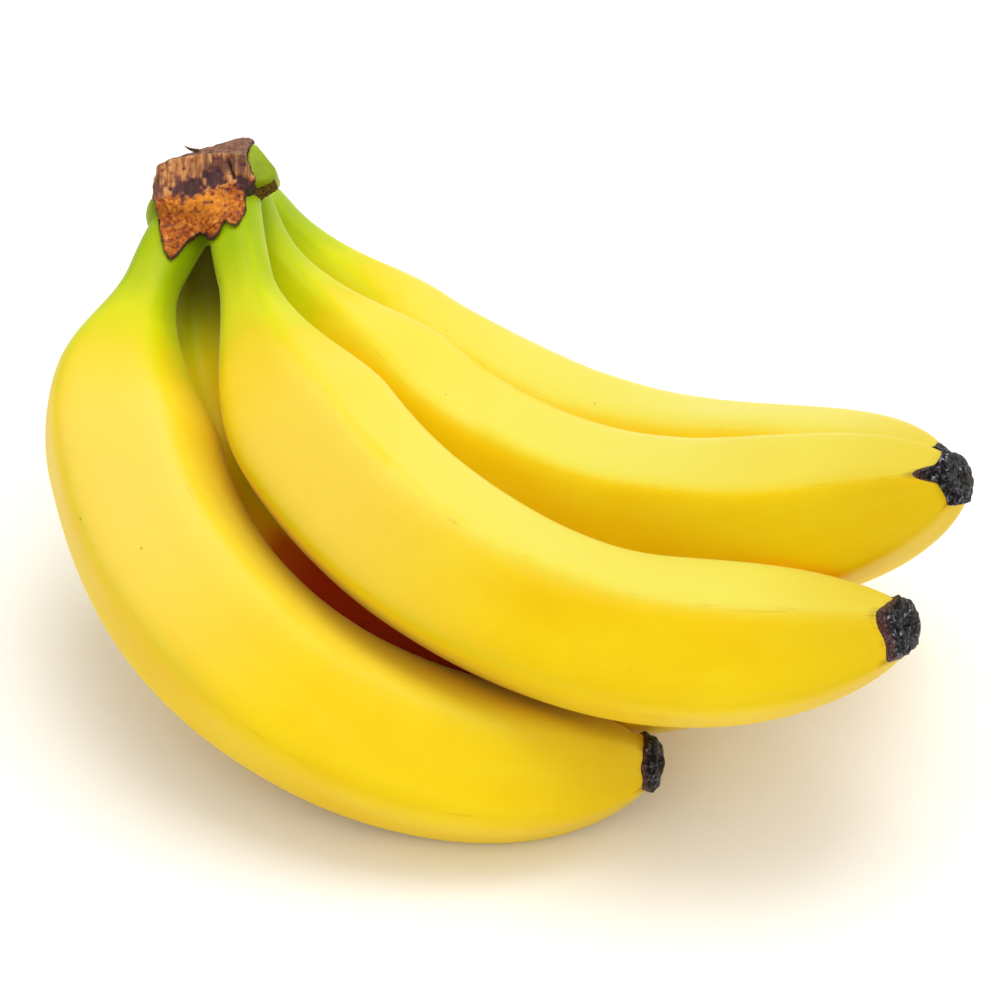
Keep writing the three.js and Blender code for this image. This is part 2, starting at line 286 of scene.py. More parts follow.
def finger_line(finger):
    """Centre line of a finger, every millimetre from inside the crown to the blossom end.

    Each step turns the frame (along, inward, across) about across by its share of the bend,
    (t + 0.01)^early (1.01 - t)^late, then about along by an even share of the twist, and moves
    along by the mean of the old and new directions. Before the neck it is the curve
    neck + s along + k s², whose k takes it to the crown's cushion. Each stray moves it by a
    bell of its move."""
    heading, dip, side = np.radians([finger["heading"], finger["dip"], finger["side"]])
    along = np.array([
        np.cos(heading) * np.cos(dip), np.sin(heading) * np.cos(dip), -np.sin(dip),
    ])
    up = unit(np.array([0, 0, 1]) - along * along[2])
    inward = up * np.cos(side) + np.cross(along, up) * np.sin(side)
    count = finger["length"]
    t = (np.arange(count) + 0.5) / count
    share = (t + 0.01) ** finger["early"] * (1.01 - t) ** finger["late"]
    turn = np.radians(finger["bend"]) * share / share.sum()
    bend = np.zeros((count, 3, 3))
    bend[:, 0, 0] = bend[:, 1, 1] = np.cos(turn)
    bend[:, 1, 0] = np.sin(turn)
    bend[:, 0, 1] = -np.sin(turn)
    bend[:, 2, 2] = 1
    twist = turned((finger["twist"] / count, 0))
    first = np.stack([along, inward, np.cross(along, inward)], -1)
    frames = np.stack(list(accumulate(bend @ twist, np.matmul, initial=first)))
    steps = (frames[1:, :, 0] + frames[:-1, :, 0]) / 2
    neck = np.array(finger["neck"]) + SHIFT
    places = neck + np.concatenate([np.zeros((1, 3)), np.cumsum(steps, axis=0)])

    back = np.arange(-ROOT_REACH, 0)[:, None]
    sag = (CUSHION_CENTRE - neck + ROOT_REACH * along) / ROOT_REACH**2
    root_places = neck + back * along + back**2 * sag
    root_along = unit(along + 2 * back * sag)
    root_inward = unit(inward - root_along * (root_along @ inward)[:, None])
    root_frames = np.stack([root_along, root_inward, np.cross(root_along, root_inward)], -1)
    places = np.concatenate([root_places, places])
    known = np.arange(-ROOT_REACH, count + 1)[:, None]
    for at, spread, move in finger["strays"]:
        places = places + bell(known, at, spread) * move
    return places, np.concatenate([root_frames, frames])


def along_line(line, distance):
    """Places and frames at any distances from the neck, straight on past the blossom end."""
    places, frames = line
    known = np.arange(len(places)) - ROOT_REACH
    columns = np.concatenate([places, frames.reshape(-1, 9)], axis=1)
    found = np.stack([np.interp(distance, known, column) for column in columns.T], -1)
    frame_here = found[..., 3:].reshape(*found.shape[:-1], 3, 3)
    past = np.maximum(distance - known[-1], 0)[..., None]
    return found[..., :3] + past * frame_here[..., 0], frame_here


def mean_radius(finger, distance):
    """A root that narrows to the neck, a smooth shoulder out to the body with its bell-shaped
    swellings, then all times (1 - t^power)^bluntness over the taper."""
    root = (ROOT_RADIUS - NECK_RADIUS) * smooth(4, -ROOT_REACH, distance)
    shoulder = smooth(NECK_LENGTH, NECK_LENGTH + SHOULDER_LENGTH, distance)
    full = NECK_RADIUS + root + (finger["radius"] - NECK_RADIUS) * shoulder
    for at, spread, growth in finger["swellings"]:
        full = full + growth * bell(distance, at, spread)
    start = finger["length"] + finger["blunt"] - TAPER_LENGTH
    taper = np.clip((distance - start) / TAPER_LENGTH, 0, 1)
    return np.maximum(full * (1 - taper**TAPER_POWER) ** TAPER_BLUNTNESS, finger["end_radius"])


def flats(angle, crispness):
    """How far out five flats lie at an angle from a ridge: each flat's facing, a cosine, is
    raised to the crispness and added, and the sum's root is turned over."""
    middles = (np.arange(FACETS) + 0.5) * 2 * np.pi / FACETS
    facing = np.maximum(np.cos(angle[..., None] - middles), 1e-6)
    return (facing ** crispness[..., None]).sum(-1) ** (-1 / crispness)


def faceted(angle, crispness):
    """The flats' reach against the reach of a ridge."""
    return RIDGE_REACH * flats(angle, crispness) / flats(np.zeros_like(angle), crispness)


def ridge_angle(finger, distance, angle):
    """Angle from the finger's first ridge, which wanders a little along the finger."""
    wander = np.stack([distance, np.full_like(distance, 7.0), distance * 0], -1)
    first = np.interp(distance, [0, finger["length"]], finger["ridges"])
    return angle + np.radians(first + 3 * noise(wander, 31, finger["seed"]))


def skin_radius(finger, distance, angle):
    """Mean radius times the facets, with low swellings and a thin raised line on each ridge."""
    turn = ridge_angle(finger, distance, angle)
    crisp = 4.5 + (finger["crisp"] - 4.5) * smooth(8, 60, distance)
    off_ridge = np.abs((turn * FACETS / (2 * np.pi) + 0.5) % 1 - 0.5) * 360 / FACETS
    line = 0.1 * bell(off_ridge, 0, 3) * smooth(25, 70, distance)
    straight = straightened(distance, angle)
    calm = smooth(5, 40, distance)
    swell = 0.3 * noise(straight, 36, finger["seed"] + 20)
    swell = swell + 0.09 * noise(straight, 12, finger["seed"] + 40)
    radius = mean_radius(finger, distance) * faceted(turn, crisp)
    return radius + calm * swell + line, off_ridge


def straightened(distance, angle):
    """The finger laid out as an even straight tube, on which its patterns are drawn."""
    return tube(SKIN_RADIUS, angle, distance)


def wrap_line(line, distance, angle, radius):
    """Point on a finger: its line's place, plus the radius turned from the hollow side."""
    places, frames = along_line(line, distance)
    out = frames[..., 1] * np.cos(angle)[..., None] - frames[..., 2] * np.sin(angle)[..., None]
    return places + out * radius[..., None]


def nearest_station(points, line):
    """The station of a line that is nearest to each point, as a number from the line's start."""
    places = line[0]
    return ((places**2).sum(1) - 2 * points @ places.T).argmin(1)


def pressed(points, finger, line):
    """Moves each point that lies inside another finger straight out from that finger's line, to
    clear its skin by the gap."""
    places, frames = (part[ROOT_REACH + PRESS_FROM:] for part in line)
    nearest = nearest_station(points, (places, frames))
    distance = nearest + float(PRESS_FROM)
    gap = points - places[nearest]
    inward = np.einsum("ij,ij->i", gap, frames[nearest][:, :, 1])
    across = np.einsum("ij,ij->i", gap, frames[nearest][:, :, 2])
    apart = np.hypot(inward, across)
    reach, _ = skin_radius(finger, distance[:, None], np.arctan2(-across, inward)[:, None])
    push = np.maximum(reach[:, 0] + SKIN_GAP - apart, 0)
    push = np.where(distance < finger["peel_end"], push, 0)
    out = frames[nearest][:, :, 1] * inward[:, None] + frames[nearest][:, :, 2] * across[:, None]
    return points + out * (push / np.maximum(apart, 1e-6))[:, None]


def closeness(points, name, lines):
    """1 where a point all but touches another finger, down to 0 where it is 5 mm clear of all
    but the one that is shut in."""
    gaps = []
    for other, line in lines.items():
        if other != name and not FINGERS[other]["shut_in"]:
            nearest = nearest_station(points, line)
            apart = np.linalg.norm(points - line[0][nearest], axis=1)
            gaps.append(apart - mean_radius(FINGERS[other], nearest - float(ROOT_REACH)))
    return smooth(5, 0.3, np.min(gaps, axis=0))


def near_side(finger, angle):
    """How far the blossom end slants back at an angle: most on the near side, by a cosine."""
    return finger["slant"] * (0.5 + 0.5 * np.cos(angle - np.radians(NEAR_SIDE)))


def tissue_reach(finger, angle):
    """How far back over the peel the blossom end's dry tissue reaches at an angle: the slant of
    its near side, a narrow uneven lobe on every ridge and the longer bell-shaped spur."""
    uneven = noise(tube(3, angle, 9), 1.7, finger["seed"])
    lobes = (0.5 + 0.5 * np.cos(FACETS * (angle + np.radians(finger["ridges"][1])))) ** 3
    spur_at, spur_length = finger["spur"]
    off_spur = (np.degrees(angle) - spur_at + 180) % 360 - 180
    reach = 0.2 + near_side(finger, angle) + 0.35 * uneven
    reach = reach + finger["lobe"] * lobes * (0.9 + 0.6 * uneven)
    return reach + spur_length * bell(off_spur, 0, 17)


def finger_skin(name, lines, rings=230, sides=120):
    """Skin of one finger, as a grid of rings from inside the crown to the blossom end, with the
    values that its material reads. Rings crowd toward the blossom end by a sine, the last ones
    lean back with the slant of the near side, the skin gives way to the fingers before it, and it
    lies flat on the surface."""
    finger, line = FINGERS[name], lines[name]
    share = np.linspace(0, 1, rings)
    crowded = 0.6 * share + 0.4 * np.sin(share * np.pi / 2)
    reach = -ROOT_REACH + (finger["peel_end"] + ROOT_REACH) * crowded
    distance, angle = ring_grid(np.append(reach, reach[-1] + 0.4), sides)
    end = smooth(finger["peel_end"] - LEAN_LENGTH, finger["peel_end"], distance)
    distance = distance - END_LEAN * near_side(finger, angle) * end
    radius, off_ridge = skin_radius(finger, distance, angle)
    radius[-1] *= 0.6
    grid = wrap_line(line, distance, angle, radius)
    round_it = np.roll(grid, -1, 1) - np.roll(grid, 1, 1)
    facing = unit(np.cross(np.gradient(grid, axis=0), round_it))
    points = with_poles(grid)
    for other in list(FINGERS)[:list(FINGERS).index(name)]:
        points = pressed(points, FINGERS[other], lines[other])
    points[:, 2] = np.maximum(points[:, 2], 0)
    straight = straightened(distance, angle)
    straight[..., 0] += PATTERN_STEP * finger["seed"]
    ridge = bell(off_ridge, 0, 7)
    hollow = 0.5 + 0.5 * np.cos(angle)
    green_end = finger["green"] * (0.88 + 0.16 * ridge + 0.1 * hollow)
    lemon = 0.2 * ridge * smooth(165, 60, distance)
    # Painted shade, red-brown, on the hidden body of the finger that is shut in between the others.
    shut_in = finger["shut_in"] * smooth(62, 92, distance) * smooth(165, 140, distance)
    # Painted shade and bounce light where a finger nearly touches another.
    crevice = closeness(points, name, lines) * with_poles(smooth(60, 110, distance))
    # Painted shade, dull olive brown, on the neck of the shut-in finger, on its side toward the
    # camera.
    painted_gap_shade = finger["shut_in"] * smooth(36, 14, distance)
    edge = finger["peel_end"] - tissue_reach(finger, angle)
    # Painted sheen: paler colour on the flats turned up.
    painted_top_sheen = finger["painted_top_sheen"] * smooth(0, 90, distance)
    # Painted highlight: paler colour on the shoulders, on their side toward the camera.
    painted_neck_highlight = finger["painted_neck_highlight"] * smooth(6, 56, distance) * smooth(122, 70, distance)
    marks = {
        "skin": straight, "ridge": ridge, "to_tip": edge - distance,
        "green": np.maximum(1 - smooth(2, green_end, distance), lemon),
        "painted_top_sheen": painted_top_sheen * smooth(0.35, 0.95, facing @ PAINTED_SHEEN_SIDE),
        "painted_neck_highlight": painted_neck_highlight * smooth(0.5, 1.0, facing @ TOWARD_CAMERA),
        "painted_gap_shade": painted_gap_shade * smooth(-0.3, 0.3, facing @ TOWARD_CAMERA),
    }
    marks = {mark: with_poles(values) for mark, values in marks.items()}
    marks["skin"], marks["to_tip"] = marks["skin"] * MM, marks["to_tip"] * MM
    marks["crevice"] = np.maximum(0.3 * crevice, with_poles(shut_in))
    return points, ring_faces(*distance.shape), marks


def blossom_end(finger, line, rings=46, sides=150):
    """Dried stub of the flower: it starts just under the skin, in lobes that reach back over the
    peel, swells into a collar that leans back with its near side, and closes over a hollow scar.
    Its profile is a list of steps of place past the peel's end and radius, crumpled by noise and
    by wrinkles that run along it."""
    t, angle = ring_grid(np.linspace(0, 1, rings), sides)
    seed = finger["seed"]
    back = np.interp(t, [0, 0.3, 1], [1, 0, 0]) * tissue_reach(finger, angle)
    past = np.interp(t, [0.3, 0.42, 0.62, 0.72, 0.84, 1], [0, 0.8, 1.9, 2.5, 2.6, 1.9])
    lean = END_LEAN * near_side(finger, angle) * smooth(0.1, 0.4, t)
    distance = finger["peel_end"] - back + finger["cap"] * past - lean
    skin, _ = skin_radius(finger, np.minimum(distance, finger["peel_end"]), angle)
    lift = np.interp(t, [0, 0.06, 0.15, 0.3, 0.42], [-0.35, 0.1, 0.3, 0.4, 0.3])
    collar = np.interp(t, [0.3, 0.42, 0.55, 0.65, 0.72, 0.84, 1],
                       [1.0, 0.98, 0.94, 0.84, 0.66, 0.36, 0])
    collar = collar * mean_radius(finger, np.array(finger["peel_end"]))
    blend = smooth(0.25, 0.5, t)
    radius = (skin + lift) * (1 - blend) + collar * blend
    body = tube(radius, angle, distance)
    wrinkles = tube(9, angle, distance * 0.35)
    crumple = 0.4 * noise(body, 2.1, seed + 1) + 0.26 * noise(body, 0.8, seed + 2)
    crumple = crumple + 0.22 * noise(wrinkles, 1.3, seed + 3)
    radius = radius + crumple * smooth(0.1, 0.45, t) * smooth(1, 0.8, t)
    distance = distance + 0.5 * noise(body, 1.6, seed + 4) * smooth(0.6, 0.8, t)
    grid = wrap_line(line, distance, angle, np.maximum(radius, 0))
    inside = wrap_line(line, distance[:1] - 0.5, angle[:1], radius[:1] * 0.5)
    points = with_poles(np.concatenate([inside, grid]))
    marks = {"rim": smooth(0.3, 0.04, t), "scar": smooth(0.6, 0.85, t), "body": body}
    marks = {
        mark: with_poles(np.concatenate([values[:1], values])) for mark, values in marks.items()
    }
    marks["body"] = marks["body"] * MM + 0.05 * seed
    return points, ring_faces(rings + 1, sides), marks


# ---- Crown ----

def loop(corners, count, softness):
    """Count points evenly round a closed outline, its corners rounded by a bell-shaped average
    whose width along the outline is the softness in millimetres."""
    corners = np.array(corners + corners[:1], float)
    lengths = np.concatenate([[0], np.cumsum(np.linalg.norm(np.diff(corners, axis=0), axis=1))])
    even = np.linspace(0, lengths[-1], count, endpoint=False)
    points = np.stack([np.interp(even, lengths, corner) for corner in corners.T], -1)
    waves = np.fft.fftfreq(count, lengths[-1] / count)[:, None]
    bell = np.exp(-2 * (np.pi * waves * softness) ** 2)
    return np.fft.ifft(np.fft.fft(points, axis=0) * bell, axis=0).real


def necks_gap(points, lines):
    """Distance to the skins of the two front necks, which run together where they are close:
    -k log of the sum of e^(-distance / k), where k is their blend."""
    total = 0
    for name in ("front", "upper_front"):
        places = lines[name][0][:ROOT_REACH + 40]
        gaps = np.linalg.norm(points[..., None, :] - places, axis=-1)
        radii = mean_radius(FINGERS[name], np.arange(len(places)) - ROOT_REACH)
        total = total + np.exp(-(gaps - radii).min(-1) / NECKS_BLEND)
    return -NECKS_BLEND * np.log(total)


def draped(points, lines, loose, lifted):
    """Slides points along the way that torn cork hangs until they rest on the necks: back by as
    much as they are loose, and forward, clear of the necks, by as much as they are lifted."""
    slide = np.zeros(points.shape[:-1])
    for _ in range(DRAPE_ROUNDS):
        gap = necks_gap(points + slide[..., None] * HANG, lines) - REST_ON_NECKS
        slide = np.clip(slide + 0.8 * gap, *DRAPE_LIMITS)
    amount = np.maximum(slide, 0) * loose + np.minimum(slide, 0) * lifted
    return points + amount[..., None] * HANG


def patches(u, v, places):
    """The highest of some oval bells, each given as its middle and its half width and height."""
    return np.max([
        np.exp(-(((u - at_u) / wide) ** 2 + ((v - at_v) / high) ** 2))
        for at_u, at_v, wide, high in places
    ], axis=0)


def cut_relief(u, v):
    """Height of the cut face, and its values for the material. The upper part has upright
    fibres, the lower part is crumbly cork, and a fold runs along the top, behind which the
    face falls away."""
    flat = np.stack([u, v, 0 * u], -1)
    border = 0.2 + 0.25 * np.maximum(u, 0) + 0.9 * noise(flat, 1.9, 71)
    cork = smooth(border + 0.8, border - 0.6, v)
    lean = u - 0.06 * (v - 4) * (u + 2)
    fibres = np.stack([lean, v * 0.13, 0 * u], -1)
    grain = 0.2 * noise(fibres, 1.0, 72) + 0.1 * noise(fibres, 0.42, 73)
    crumbs = 0.26 * noise(flat, 0.8, 74) + 0.15 * noise(flat, 0.36, 75)
    crumbs = crumbs + 0.3 * noise(flat, 2.6, 79)
    crack = 6.3 - 0.28 * (v - 5.8)
    ends = smooth(2.9, 3.8, v) * smooth(8.3, 7.5, v)
    groove = np.exp(-(((u - crack + 0.2 * noise(flat, 1.1, 76)) / 0.28) ** 2)) * ends
    fold = 9.0 - 0.012 * (u - 2.5) ** 2 + 0.2 * noise(flat, 2.2, 77)
    fall = 0.75 * np.maximum(v - fold, 0)
    lip = 0.25 * bell(v, fold, 0.5)
    char = patches(u, v, CHAR_PATCHES) + 0.45 * noise(flat, 0.9, 78)
    char = 0.55 * smooth(0.0, 0.4, char) + 0.45 * smooth(0.35, 0.9, char)
    smoke = patches(u, v, SMOKE_PATCHES) + 0.4 * noise(flat, 2.0, 70)
    glow = patches(u, v, [(0.9, -2.5, 6.4, 3.0)])
    height = grain * (1 - cork) + crumbs * cork - 0.9 * groove - fall + lip
    height = height - 0.5 * char * (1 - cork)
    return height, [cork, char, groove, smooth(0, 0.6, v - fold), glow, smoke]


def crown_cut(lines, rings=64, sides=320):
    """Brown cut end of the stalk: the face inside its torn edge, a rounded edge, then the sides
    down into the cushion. The cork below the block is thin and lies back on the necks."""
    edge = loop(CUT_EDGE, sides, 0.25)
    ragged = 0.22 * noise(np.c_[edge, 0 * edge[:, 0]], 0.7, 81)
    outward = unit(edge - CUT_MIDDLE)
    edge = edge + outward * ragged[:, None]
    share = np.sin(np.linspace(0.02, 1, rings) * np.pi / 2)
    face = CUT_MIDDLE + share[:, None, None] * (edge - CUT_MIDDLE)
    height, painted = cut_relief(face[..., 0], face[..., 1])
    height = height - 0.6 * smooth(0.965, 1, share)[:, None] ** 2
    block = np.stack([edge[:, 0], np.maximum(edge[:, 1], CORK_FROM)], -1)
    walls = [
        (edge, 0.8, 1.0), (edge - outward * 0.3, 1.4, 0.8), (block * 0.985, 2.8, 0.5),
        (block * 0.96, 4.5, 0.2), (block * 0.93, 7, 0), (block * 0.88, 10, 0),
        (block * 0.8, 13.5, 0), (block * 0.4, 14, 0),
    ]
    wall = np.stack([ring for ring, _, _ in walls])
    depth = np.array([[deep] for _, deep, _ in walls]) * np.ones(sides)
    follow = np.array([[share_kept] for _, _, share_kept in walls])
    bark = 0.3 * noise(np.concatenate([wall, depth[..., None] * 0.25], -1), 0.9, 82)
    wall = wall + bark[..., None] * unit(wall - CUT_MIDDLE)
    drawn = np.concatenate([
        np.concatenate([face, height[..., None]], -1),
        np.concatenate([wall, (follow * height[-1] - depth)[..., None]], -1),
    ])
    depth = np.concatenate([np.zeros_like(height), depth])
    points = on_face(*np.moveaxis(drawn, -1, 0))
    loose = smooth(-1.2, -5.5, drawn[..., 1])
    points = with_poles(draped(points, lines, loose, smooth(2.6, 1.4, depth)))
    torn = smooth(0.95, 0.998, share)[:, None] * np.ones(sides)
    marks = {
        name: with_poles(np.concatenate([value, np.repeat(value[-1:], len(walls), axis=0)]))
        for name, value in zip(("cork", "char", "groove", "behind", "glow", "smoke"), painted)
    }
    marks["drawn"] = with_poles(drawn) * MM
    marks["torn"] = with_poles(np.concatenate([torn, np.ones((len(walls), sides))]))
    return points, ring_faces(*depth.shape), marks


def prism(corners, top, foot, slope, softness=0.8, sides=120):
    """Slab with a rounded outline and rounded edges, drawn on the face, whose top falls away
    with u by the slope and crowns a little toward its middle."""
    edge = loop(corners, sides, softness)
    middle = edge.mean(0)
    profile = [(0.3, 0.22), (0.55, 0.17), (0.75, 0.08), (0.88, -0.08), (0.95, -0.3), (1, -0.8)]
    rings = [(middle + (edge - middle) * share, top + rise) for share, rise in profile]
    rings += [(edge, low) for low in np.linspace(top - 1.5, foot, 8)]
    u = np.stack([ring[:, 0] for ring, _ in rings])
    v = np.stack([ring[:, 1] for ring, _ in rings])
    w = np.array([[low] for _, low in rings]) - slope * np.maximum(u - 10, 0)
    return with_poles(on_face(u, v, w)), ring_faces(*u.shape)


def ellipsoid(centre, radii, rings=24, sides=48):
    """Ball stretched along the axes: rings of radius sin(a) at heights cos(a)."""
    a, turn = ring_grid(np.linspace(0.1, np.pi - 0.1, rings), sides)
    return with_poles(centre + tube(np.sin(a), turn, np.cos(a)) * radii), ring_faces(rings, sides)


def root(finger, line, rings=22, sides=48):
    """Inner part of a neck, a little slimmer than its skin, from the cushion outward."""
    distance, angle = ring_grid(np.linspace(-ROOT_REACH, 9, rings), sides)
    slim = mean_radius(finger, distance) - np.interp(distance, [-2, 9], [0, 1.2])
    return with_poles(wrap_line(line, distance, angle, slim)), ring_faces(rings, sides)


def crown_flesh(lines):
    """Green part of the crown: cushion, roots, web, cheek and ledge run together. They are
    joined by a voxel remesh, softened, and then roughened by noise along their normals."""
    web = (lines["front"][0][ROOT_REACH + 6] + lines["upper_front"][0][ROOT_REACH + 6]) / 2
    web = web + 7 * HANG + (0, 2, 2.2)
    solids = [
        ellipsoid(CUSHION_CENTRE, CUSHION_RADII),
        ellipsoid(web, (4.5, 3.5, 3)),
        ellipsoid(SHOULDER, (2.5, 2.8, 4.8)),
        prism(CHEEK_EDGE, -0.8, -7, 0.4),
        prism(LEDGE_EDGE, -4.3, -8, 0),
        *(root(finger, lines[name]) for name, finger in FINGERS.items()),
    ]
    starts = np.cumsum([0] + [len(points) for points, _ in solids])
    joined = bpy.data.meshes.new("crown_parts")
    joined.from_pydata(
        (np.concatenate([points for points, _ in solids]) * MM).tolist(), [],
        [[corner + int(start) for corner in face]
         for start, (_, faces) in zip(starts, solids) for face in faces],
    )
    helper = put_object("crown_parts", joined)
    remesh = helper.modifiers.new("join", "REMESH")
    remesh.mode = "VOXEL"
    remesh.voxel_size = VOXEL * MM
    soften = helper.modifiers.new("soften", "SMOOTH")
    soften.factor = 0.5
    soften.iterations = 7
    whole = bpy.data.meshes.new_from_object(
        helper.evaluated_get(bpy.context.evaluated_depsgraph_get()))
    bpy.data.objects.remove(helper)
    points = np.empty(len(whole.vertices) * 3, np.float32)
    normals = np.empty_like(points)
    whole.vertices.foreach_get("co", points)
    whole.vertex_normals.foreach_get("vector", normals)
    points = points.reshape(-1, 3).astype(float) / MM
    normals = normals.reshape(-1, 3)
    faces = [list(face.vertices) for face in whole.polygons]
    bpy.data.meshes.remove(whole)
    drawn = (points - FACE_CENTRE) @ turned((FACE_TIP, FACE_TURN))
    u, v, w = drawn.T
    # Brown on the ledge under the cheek: dry tissue, painted dark as shade under the overhang.
    ledge = smooth(6.5, 8, u) * smooth(15.8, 14.2, u) * smooth(-2.2, -0.6, v)
    ledge = ledge * smooth(4.9, 4.2, v) * smooth(-3.2, -4.3, w) * smooth(-13, -11, w)
    rough = 0.12 * noise(points, 2.6, 91) + (0.05 + 0.22 * ledge) * noise(points, 0.9, 92)
    marks = {"dry": ledge, "skin": points * MM}
    return points + normals * rough[:, None], faces, marks


def splinter(rings=16, sides=24):
    """Thin dry hook on the back of the rim: a tube that tapers along a bent line."""
    t, turn = ring_grid(np.linspace(0, 1, rings), sides)
    u = -0.8 - 2.9 * t
    v = 10.8 + 0.2 * t + 0.9 * t**3
    w = -1.5 + 0.7 * np.sin(t * np.pi / 2)
    radius = 0.4 * (1 - t) ** 0.7 + 0.1
    points = on_face(u, v + radius * np.cos(turn), w + radius * np.sin(turn))
    return with_poles(points), ring_faces(rings, sides)


# ---- Materials ----

LOW, HIGH, LEAST, MOST = 1, 2, 3, 4     # inputs of MapRange: what it reads, then what it gives
AMOUNT, UNDER, OVER = 0, 6, 7           # inputs of a Mix of two colours


def linear(colour):
    """sRGB hex colour as linear red, green, blue and an alpha of 1: a channel c is c / 12.92 when
    dark, and ((c + 0.055) / 1.055)^2.4 otherwise."""
    channels = np.array([int(colour[i:i + 2], 16) / 255 for i in (1, 3, 5)])
    light = np.where(channels <= 0.04045, channels / 12.92, ((channels + 0.055) / 1.055) ** 2.4)
    return (*map(float, light), 1.0)


def across(size):
    """Scale of a noise or cell pattern whose features are about size millimetres across."""
    return 1 / (size * MM)


def add_node(tree, kind, inputs=None, ramp=None, **settings):
    """Adds a shader node with its settings. An input is named or numbered, and is a value, a
    hex colour, a socket to link, or a node whose first live output is meant. A ramp is a list of
    places and colours."""
    node = tree.nodes.new("ShaderNode" + kind)
    for name, value in settings.items():
        setattr(node, name, value)
    for name, value in (inputs or {}).items():
        if isinstance(value, str):
            value = linear(value)
        if isinstance(value, bpy.types.Node):
            value = next(output for output in value.outputs if output.enabled)
        if isinstance(value, bpy.types.NodeSocket):
            tree.links.new(value, node.inputs[name])
        else:
            node.inputs[name].default_value = value
    for i, (place, colour) in enumerate(ramp or []):
        stops = node.color_ramp.elements
        stop = stops[i] if i < 2 else stops.new(place)
        stop.position = place
        stop.color = linear(colour) if isinstance(colour, str) else colour
    return node


def start_material(name):
    """An empty node material, and what adds a node to it."""
    material = bpy.data.materials.new(name)
    material.use_nodes = True
    material.node_tree.nodes.clear()
    return material, partial(add_node, material.node_tree)


def finish_material(add, height, strength, depth, inputs):
    """The shader with its inputs, its fine relief, depth millimetres deep, and its way out."""
    normal = add("Bump", {"Height": height, "Strength": strength, "Distance": depth * MM})
    surface = add("BsdfPrincipled", {**inputs, "Normal": normal})
    add("OutputMaterial", {"Surface": surface})


